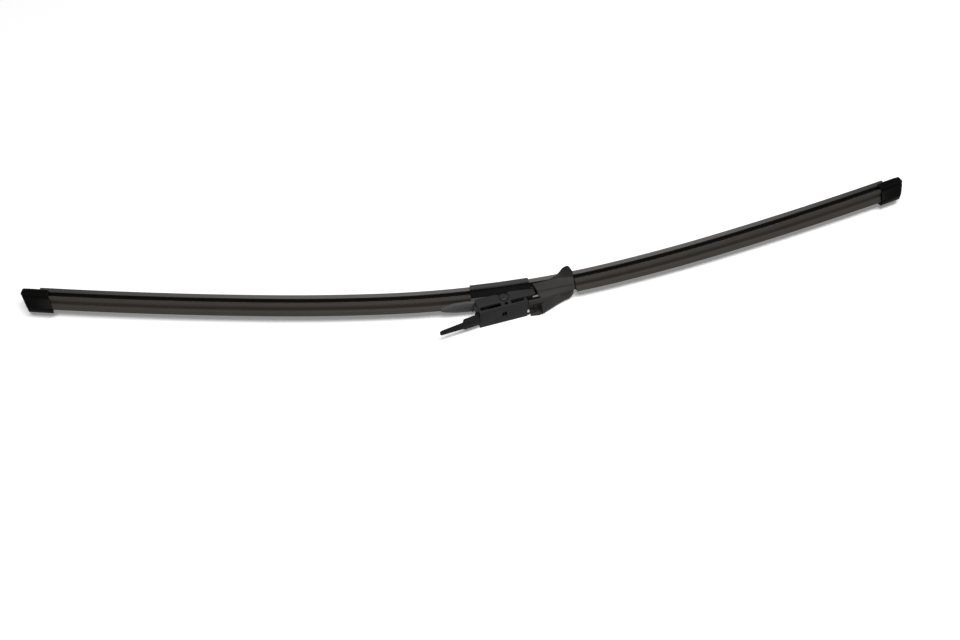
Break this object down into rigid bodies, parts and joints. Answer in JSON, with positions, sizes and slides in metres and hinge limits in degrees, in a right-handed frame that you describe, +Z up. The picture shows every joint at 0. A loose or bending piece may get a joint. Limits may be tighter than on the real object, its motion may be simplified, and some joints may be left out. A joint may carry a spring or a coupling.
{
  "type": "wiper blade",
  "caption": "Flat windscreen wiper blade: a bent rubber strip on flat springs with a spoiler, end caps and a swinging arm adapter with a lock lever.",
  "frame": {"origin": "on the axis on which the adapter swings, at the pivot pin's lower end, in the plane that the connector lies on", "axes": "+X along the blade towards its short side, +Y towards the lip, -Y towards the wiper arm, +Z up out of the blade's upper side as it lies"},
  "size_m": [0.6023, 0.0853, 0.0201],
  "materials": {
    "lip_rubber": "matt black rubber, graphite grey at the lip",
    "spoiler_rubber": "satin black",
    "spring_steel": "black coated spring steel",
    "black_plastic": "fine grained black",
    "pin_steel": "black coated"
  },
  "bodies": {
    "blade": {"wiper_rubber": "lip_rubber", "upper_spring": "spring_steel", "lower_spring": "spring_steel", "long_spoiler": "spoiler_rubber", "short_spoiler": "spoiler_rubber", "long_end_cap": "black_plastic", "short_end_cap": "black_plastic", "base_bracket": "black_plastic", "pivot_pin": "pin_steel", "tail_cover": "black_plastic", "wing_cover": "black_plastic"},
    "adapter": {"adapter_body": "black_plastic"},
    "lever": {"lock_lever": "black_plastic"}
  },
  "joints": [
    {"name": "adapter_pivot", "type": "hinge", "parent": "blade", "child": "adapter", "pos_m": [0, 0, 0.0076], "axis": [0, 0, 1], "range_deg": [-12, 2.5]},
    {"name": "lever_hinge", "type": "hinge", "parent": "adapter", "child": "lever", "pos_m": [-0.0125, -0.00448, 0.0076], "axis": [0, 0, 1], "range_deg": [-5, 1]}
  ]
}
